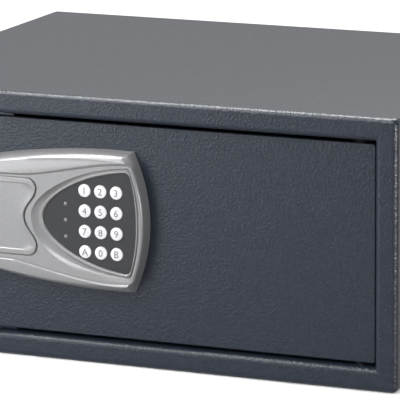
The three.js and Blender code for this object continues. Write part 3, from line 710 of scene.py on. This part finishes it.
# The same round the knob.
KNOB_BEZEL = [(0, 0), (0.08, -0.3), (0.22, -0.9), (0.38, -1.1), (0.52, -0.7), (0.62, 0), (0.72, 0.4),
              (0.84, 0.4), (0.94, 0.1), (1.0, -0.6), (1.0, -3.0)]
KNOB_WELL = 3.0            # depth of the knob's seat below the sunk middle
NARROW, WIDE = 2.4, 6.4    # widths at which the narrow and the wide profile are reached
FULL_DEPTH_WIDTH = 8.0     # the hollow is shallower where it is narrower than this


def stepped(outer, inner, profile, base=0.0):
    """Rings between two matched loops, at the profile's heights above `base`."""
    return [raised(outer + (inner - outer) * share, base + height) for share, height in profile]


def bezel_rings(outer, inner):
    """Rings from the bezel's edge to the keypad's, shaped between the two profiles by the local width."""
    width = np.linalg.norm(outer - inner, axis=1)
    wide = np.clip((width - NARROW) / (WIDE - NARROW), 0, 1)
    dip = np.minimum(width / FULL_DEPTH_WIDTH, 1.0)
    rings = []
    for (near, low), (far, high) in zip(NARROW_BEZEL, WIDE_BEZEL):
        deep = high * dip if high < 0 else high
        share = near + (far - near) * wide
        height = low + (deep - low) * wide
        rings.append(raised(outer + (inner - outer) * share[:, None], PLATEAU + height))
    return rings


def service_edge(grow=0.0, grow_ends=None):
    """The service cover's edge: straight long sides and scooped ends, which can be moved on their own."""
    ends = grow if grow_ends is None else grow_ends
    left, right, z = SERVICE_LOW[0] - ends, SERVICE_HIGH[0] + ends, AXIS_Z
    top, tip = z + (SERVICE_HIGH[2] - SERVICE_LOW[2]) / 2 + grow, z + 21.5
    scoop, corner, bend = 10.0, 7.0, 14
    parts = [
        bezier((right - scoop, z), (right - scoop, z + 9), (right - 0.2, z + 13.5), (right, tip), SEGMENT),
        bezier((right, tip), (right + 0.1, top - 3.5), (right - 3, top), (right - corner, top), bend),
        line((right - corner, top), (left + corner, top), SEGMENT),
        bezier((left + corner, top), (left + 3, top), (left - 0.1, top - 3.5), (left, tip), bend),
        bezier((left, tip), (left + 0.2, z + 13.5), (left + scoop, z + 9), (left + scoop, z), SEGMENT),
        np.array([(left + scoop, z)]),
    ]
    return mirrored(np.concatenate(parts), z)


def fascia_piece():
    """The die-cast fascia: rounded shoulders, a sunk middle, and the seats of keypad, cover and knob."""
    surface = Surface()
    rings = fascia_rings()
    surface.loft(rings)
    bezel, seat = bezel_edge(), service_edge(0.5, 1.3)
    knob_rim, knob_lip, knob_bore = (circle(KNOB_X, AXIS_Z, radius, 96) for radius in (26.0, 22.8, 5.0))
    surface.fill(rings[-1][:, (0, 2)], [bezel, knob_rim, seat], PLATEAU)
    surface.loft(bezel_rings(bezel, pad_edge(0.15)))
    surface.loft(stepped(knob_rim, knob_lip, KNOB_BEZEL, PLATEAU))
    surface.loft(stepped(seat, seat, [(0, PLATEAU), (0, SEAT)]))
    surface.loft(stepped(knob_lip, knob_bore, [(0, 0), (1, 0)], PLATEAU - KNOB_WELL))
    barrel = circle(centre_mm("lock_barrel")[0], AXIS_Z, 10.0, 48)
    surface.fill(seat, [barrel], SEAT)
    surface.loft(stepped(barrel, barrel, [(0, SEAT), (0, 6.0)]))
    piece = surface.build("fascia", [MATERIALS["fascia_paint"]], sharp=32)
    return place(piece, "door", "fascia_paint", "fascia_housing")


# ---------- keypad ----------

KEYS = "123456789a0b"
LAMPS = ("upper", "middle", "lower")
KEY_HOLE, LAMP_HOLE = 5.2, 1.6    # radii
PAD_DEPTH = 4.2
LEGEND_SIZE = 7.2
PRINT_THICKNESS = 0.04


def keypad_plate():
    """The dark plate behind the keys, with a hole for each key and lamp."""
    holes = [circle(*centre_mm(f"key_{key}"), KEY_HOLE, 40) for key in KEYS]
    holes += [circle(*centre_mm(f"indicator_lens_{lamp}"), LAMP_HOLE, 24) for lamp in LAMPS]
    edge, back = pad_edge(-0.02), PAD_FACE - PAD_DEPTH
    surface = Surface()
    surface.fill(edge, holes, PAD_FACE)
    for loop in (edge, *holes):
        surface.loft(stepped(loop, loop, [(0, PAD_FACE), (0, back)]))
    surface.fill(edge, holes, back)
    piece = surface.build("keypad_plate", [MATERIALS["pad_plastic"]])
    return place(piece, "door", "pad_plastic", "keypad_panel")


def legend_faces(text, x, y, z):
    """The outline of one letter or digit as a thin raised print on the key's face, centred on (x, z)."""
    curve = bpy.data.curves.new("legend", "FONT")
    curve.body = text
    curve.size = LEGEND_SIZE * MM
    curve.align_x = "CENTER"
    curve.align_y = "CENTER"
    curve.extrude = PRINT_THICKNESS * MM
    curve.resolution_u = 3
    holder = bpy.data.objects.new("legend", curve)
    bpy.context.scene.collection.objects.link(holder)
    bpy.context.view_layer.update()
    mesh = bpy.data.meshes.new_from_object(holder.evaluated_get(bpy.context.evaluated_depsgraph_get()))
    upright = Matrix.Translation(Vector((x, y, z)) * MM) @ Matrix.Rotation(math.pi / 2, 4, "X")
    mesh.transform(upright)
    points = np.array([v.co for v in mesh.vertices]) / MM
    points += np.array((x, y, z)) * (1, 0, 1) - (points.min(axis=0) + points.max(axis=0)) / 2 * (1, 0, 1)
    faces = [tuple(p.vertices) for p in mesh.polygons]
    bpy.data.objects.remove(holder)
    bpy.data.curves.remove(curve)
    bpy.data.meshes.remove(mesh)
    return points, faces


def key_piece(key):
    """A round key with a gently crowned face, a soft edge and its printed legend."""
    low, high = box_mm(f"key_{key}")
    x, z = centre_mm(f"key_{key}")
    radius, length = (high[2] - low[2]) / 2, high[1] - low[1]
    edge, rim, crown = 0.55, length - 0.35, length - 0.1
    profile = [(0, 0), (radius, 0), (radius, rim - edge)]
    profile += arc((radius - edge, rim - edge), edge, 0, 75, 5)
    reach, start = profile[-1]
    for outer in (0.8, 0.55, 0.3, 0.03):
        profile.append((reach * outer, start + (crown - start) * (1 - outer ** 2)))
    rings = turned(profile, (x, high[1], z), OUTWARDS, 48)
    surface = Surface()
    surface.loft(rings)
    surface.cap(rings[-1])
    surface.add(*legend_faces(key.upper(), x, low[1] + 0.06, z), 1)
    piece = surface.build(f"key_cap_{key}", [MATERIALS["key_plastic"], MATERIALS["legend"]], weld=0.0005)
    return place(piece, f"key_{key}", "key_plastic", f"key_{key}")


def indicator(name):
    """A lamp's small domed lens."""
    low, high = box_mm(f"indicator_lens_{name}")
    x, z = centre_mm(f"indicator_lens_{name}")
    radius, rim, dome = (high[0] - low[0]) / 2, high[1] - low[1] - 0.45, 0.42
    profile = [(0, 0), (radius, 0), (radius, rim)]
    profile += [(radius * math.cos(a), rim + dome * math.sin(a)) for a in np.linspace(0.2, 1.5, 6)]
    piece = turned_piece(f"lamp_{name}", profile, (x, high[1], z), OUTWARDS, [MATERIALS["lens"]], 32)
    return place(piece, "door", "lens", f"indicator_lens_{name}")


# ---------- service cover and knob ----------

# (inset of the long sides, inset of the ends, depth below the rail): a round edge, the rail and its slope.
RAIL = [(0, 0, 0.7), (0.12, 0.12, 0.35), (0.35, 0.35, 0.1), (0.7, 0.7, 0), (3.6, 1.6, 0), (3.8, 2.4, 0.15),
        (4.3, 4.5, 0.6)]


def service_cover():
    """The clip-on cover: a raised rail along each long edge and a sunk face between them."""
    top, back = DOOR_FACE - SERVICE_LOW[1], DOOR_FACE - SERVICE_HIGH[1]
    edge = service_edge()
    rings = [raised(edge, back)]
    rings += [raised(service_edge(-sides, -ends), top - depth) for sides, ends, depth in RAIL]
    surface = Surface()
    surface.loft(rings)
    surface.fill(rings[-1][:, (0, 2)], [], top - RAIL[-1][2])
    surface.fill(edge, [], back)
    piece = surface.build("service_cover_panel", [MATERIALS["fascia_paint"]])
    return place(piece, "service_cover", "fascia_paint", "service_cover")


KNOB_ANGLE = math.radians(45)
KNOB_RADIUS = (KNOB_HIGH[0] - KNOB_LOW[0]) / 2
KNOB_HEIGHT = KNOB_HIGH[1] - KNOB_LOW[1]
FLUTES, FLUTE_DEPTH = 36, 0.016      # the depth is a share of the radius
BAR_HALF = (6.5, 18.5)               # half width and half length of the finger bar
# (distance out from the knob's back, inset) up the bar.
BAR_PROFILE = [(3.5, -0.6), (6.0, 0.0), (KNOB_HEIGHT - 3.0, 0.7), (KNOB_HEIGHT - 1.4, 1.1),
               (KNOB_HEIGHT - 0.5, 1.9), (KNOB_HEIGHT - 0.06, 3.2)]


def on_knob(loop, out):
    """A loop drawn upright about the knob's axis, turned to the rest angle, `out` from the knob's back."""
    x, z = loop[:, 0], loop[:, 1]
    across = x * math.cos(KNOB_ANGLE) + z * math.sin(KNOB_ANGLE)
    upward = -x * math.sin(KNOB_ANGLE) + z * math.cos(KNOB_ANGLE)
    return np.stack([KNOB_X + across, np.full(len(x), KNOB_HIGH[1] - out), AXIS_Z + upward], axis=1)


def knob_skirt():
    """The knob's fluted skirt and dished face."""
    count = 4 * FLUTES
    profile = [(KNOB_RADIUS - 0.6, 0), (KNOB_RADIUS, 0.5), (KNOB_RADIUS, 3.4)]
    profile += arc((KNOB_RADIUS - 1.6, 3.9), 1.6, 10, 90, 6)
    profile += [(KNOB_RADIUS - 3.2, 5.3), (KNOB_RADIUS - 4.6, 4.9), (9.0, 4.6), (0.0, 4.6)]
    rings = turned(profile, (KNOB_X, KNOB_HIGH[1], AXIS_Z), OUTWARDS, count)
    angle = np.arange(count) / count * 2 * math.pi
    flute = 1 - FLUTE_DEPTH * (0.5 + 0.5 * np.cos(angle * FLUTES))
    for ring, (radius, out) in zip(rings, profile):
        if radius > KNOB_RADIUS - 1.0 and out < 4.0:
            ring[:, 0] = KNOB_X + (ring[:, 0] - KNOB_X) * flute
            ring[:, 2] = AXIS_Z + (ring[:, 2] - AXIS_Z) * flute
    surface = Surface()
    surface.loft(rings)
    surface.cap(rings[0])
    return place(surface.build("knob_skirt", [MATERIALS["fascia_paint"]]), "knob", "fascia_paint", "knob")


def knob_bar():
    """The finger bar across the knob, pulled in at its middle for the fingers."""
    rings = []
    for out, inset in BAR_PROFILE:
        high = (BAR_HALF[0] - inset, BAR_HALF[1] - inset)
        loop = rounded_rectangle((-high[0], -high[1]), high, max(6.2 - inset, 1.0), 10)
        loop[:, 0] *= 1 - 0.14 * np.exp(-(loop[:, 1] / 9.0) ** 2)
        rings.append(on_knob(loop, out))
    surface = Surface()
    surface.closed_loft(rings)
    bar = surface.build("knob_finger_bar", [MATERIALS["fascia_paint"]])
    return place(bar, "knob", "fascia_paint", "knob")


def knob_mark():
    """The printed pointer line near the bar's upper end."""
    loop = rounded_rectangle((-0.6, 6.0), (0.6, 14.0), 0.5, 4)
    surface = Surface()
    surface.closed_loft([on_knob(loop, KNOB_HEIGHT - 0.4), on_knob(loop, KNOB_HEIGHT)])
    return place(surface.build("knob_pointer", [MATERIALS["legend"]]), "knob", "pad_plastic")


# ---------- nodes that keep their shape ----------

BEVEL = 0.3
WIDER_BEVELS = {"inner_cover": 0.5, "floor_mat": 0.6, "back_panel": 0.4, "battery_lid": 0.4}


def soft_shading():
    """A node group that smooths a mesh but for its sharp edges."""
    group = bpy.data.node_groups.new("soft_shading", "GeometryNodeTree")
    group.interface.new_socket("Geometry", in_out="INPUT", socket_type="NodeSocketGeometry")
    group.interface.new_socket("Geometry", in_out="OUTPUT", socket_type="NodeSocketGeometry")
    start, end = group.nodes.new("NodeGroupInput"), group.nodes.new("NodeGroupOutput")
    angle = group.nodes.new("GeometryNodeInputMeshEdgeAngle")
    sharper = group.nodes.new("FunctionNodeCompare")
    sharper.data_type = "FLOAT"
    sharper.operation = "LESS_THAN"
    sharper.inputs[1].default_value = math.radians(32)
    faces = group.nodes.new("GeometryNodeSetShadeSmooth")
    edges = group.nodes.new("GeometryNodeSetShadeSmooth")
    edges.domain = "EDGE"
    group.links.new(start.outputs[0], faces.inputs["Geometry"])
    group.links.new(faces.outputs["Geometry"], edges.inputs["Geometry"])
    group.links.new(angle.outputs["Unsigned Angle"], sharper.inputs[0])
    group.links.new(sharper.outputs["Result"], edges.inputs["Shade Smooth"])
    group.links.new(edges.outputs["Geometry"], end.inputs[0])
    return group


SOFT_SHADING = soft_shading()


def finish_node(name, material):
    """A node keeps its shape: flat faces are joined, its edges are broken and it gets its material."""
    node = frame["nodes"][name]
    node.data.materials.clear()
    node.data.materials.append(MATERIALS[material])
    weld = node.modifiers.new("weld", "WELD")
    weld.merge_threshold = 1e-6
    flat = node.modifiers.new("flat faces", "DECIMATE")
    flat.decimate_type = "DISSOLVE"
    flat.angle_limit = math.radians(0.5)
    edge = node.modifiers.new("broken edges", "BEVEL")
    edge.width = WIDER_BEVELS.get(name, BEVEL) * MM
    edge.segments = 2
    edge.limit_method = "ANGLE"
    edge.angle_limit = math.radians(40)
    shading = node.modifiers.new("shading", "NODES")
    shading.node_group = SOFT_SHADING
    node.modifiers.new("flat faces stay flat", "WEIGHTED_NORMAL").keep_sharp = True


def node_slot(name):
    """The material slot that the record gives a node."""
    for part in frame["record"]["subparts"]:
        if part["node"] == name:
            return part["material_slot"]
    raise KeyError(name)


def carried_over():
    """Materials and broken edges for every node that no piece replaces."""
    for name, node in frame["nodes"].items():
        if not node.hide_render:
            # The hinge washers take the near-black washer material: painted shade in the door's gap.
            look = "washer" if name.startswith("hinge_washer") else node_slot(name)
            finish_node(name, look)


# ---------- stage ----------

FLOOR_HALF = 9000.0
FLOOR_Z = -0.2


def camera():
    """A long lens from the right of the front, a little above, with a slight roll."""
    azimuth, elevation, roll = math.radians(23.28), math.radians(12.31), math.radians(-0.43)
    target, distance = Vector((0.0606, -0.163, 0.1288)), 2.652
    back = Vector((math.sin(azimuth) * math.cos(elevation), -math.cos(azimuth) * math.cos(elevation),
                   math.sin(elevation)))
    turn = back.to_track_quat("Z", "Y").to_matrix().to_4x4() @ Matrix.Rotation(roll, 4, "Z")
    data = bpy.data.cameras.new("camera")
    data.lens, data.sensor_width = 329.56, 36.0
    data.clip_end = 60
    made = bpy.data.objects.new("camera", data)
    made.matrix_world = Matrix.Translation(target + back * distance) @ turn
    bpy.context.scene.collection.objects.link(made)
    bpy.context.scene.camera = made


def softbox(name, location, aim, size, power, only_highlights=False):
    """A rectangular lamp. One that adds only highlights is seen in gloss but lights nothing."""
    data = bpy.data.lights.new(name, "AREA")
    data.shape = "RECTANGLE"
    data.size, data.size_y = size
    data.energy = power
    made = bpy.data.objects.new(name, data)
    direction = Vector(aim) - Vector(location)
    made.matrix_world = Matrix.Translation(location) @ direction.to_track_quat("-Z", "Y").to_matrix().to_4x4()
    made.visible_camera = False
    made.visible_diffuse = not only_highlights
    bpy.context.scene.collection.objects.link(made)


def studio_world():
    """A soft studio all round: brightest overhead and a little to the left, dim low down at the right."""
    world = bpy.data.worlds.new("studio")
    world.use_nodes = True
    nodes, links = world.node_tree.nodes, world.node_tree.links
    coordinates = nodes.new("ShaderNodeTexCoord")
    towards = nodes.new("ShaderNodeVectorMath")
    towards.operation = "DOT_PRODUCT"
    towards.inputs[1].default_value = (-0.30, -0.20, 0.93)
    level = nodes.new("ShaderNodeMapRange")
    level.inputs["From Min"].default_value = -1
    level.inputs["To Min"].default_value = 0.16
    level.inputs["To Max"].default_value = 1.25
    background = nodes["Background"]
    background.inputs["Color"].default_value = (1, 1, 1, 1)
    links.new(coordinates.outputs["Generated"], towards.inputs[0])
    links.new(towards.outputs["Value"], level.inputs["Value"])
    links.new(level.outputs["Result"], background.inputs["Strength"])
    bpy.context.scene.world = world


def studio_floor():
    """A wide white floor, left out of the bounce light."""
    corners = [(x * FLOOR_HALF, y * FLOOR_HALF, FLOOR_Z) for x, y in ((-1, -1), (1, -1), (1, 1), (-1, 1))]
    surface = Surface()
    surface.add(corners, [(0, 1, 2, 3)])
    floor = surface.build("studio_floor", [pale_floor()], smooth=False)
    floor.visible_diffuse = False


def studio():
    """Key light and fill from the left front, and three lamps that add only highlights."""
    softbox("key", (-0.70, -1.0, 1.0), (-0.1, -0.2, 0.12), (0.6, 0.6), 11)
    softbox("left fill", (-0.62, -1.05, 0.13), (-0.15, -0.16, 0.14), (0.4, 0.24), 3.6)
    softbox("overhead strip", (-0.25, 0.10, 1.15), (0, -0.1, 0.1), (1.9, 0.2), 60, only_highlights=True)
    softbox("right rim", (1.25, -0.68, 0.13), (0.21, -0.17, 0.1), (0.12, 0.22), 18, only_highlights=True)
    softbox("front sheen", (0.08, -1.15, 1.2), (-0.1, -0.2, 0.12), (1.0, 0.35), 16, only_highlights=True)
    studio_world()
    studio_floor()
    bpy.context.scene.view_settings.view_transform = "Standard"


# ---------- assembly ----------

camera()
studio()
cabinet_shell()
flange_weld("flange_weld_right", 1)
flange_weld("flange_weld_left", -1)
door_leaf()
fascia_piece()
keypad_plate()
for key in KEYS:
    key_piece(key)
for lamp in LAMPS:
    indicator(lamp)
service_cover()
knob_skirt()
knob_bar()
knob_mark()
carried_over()
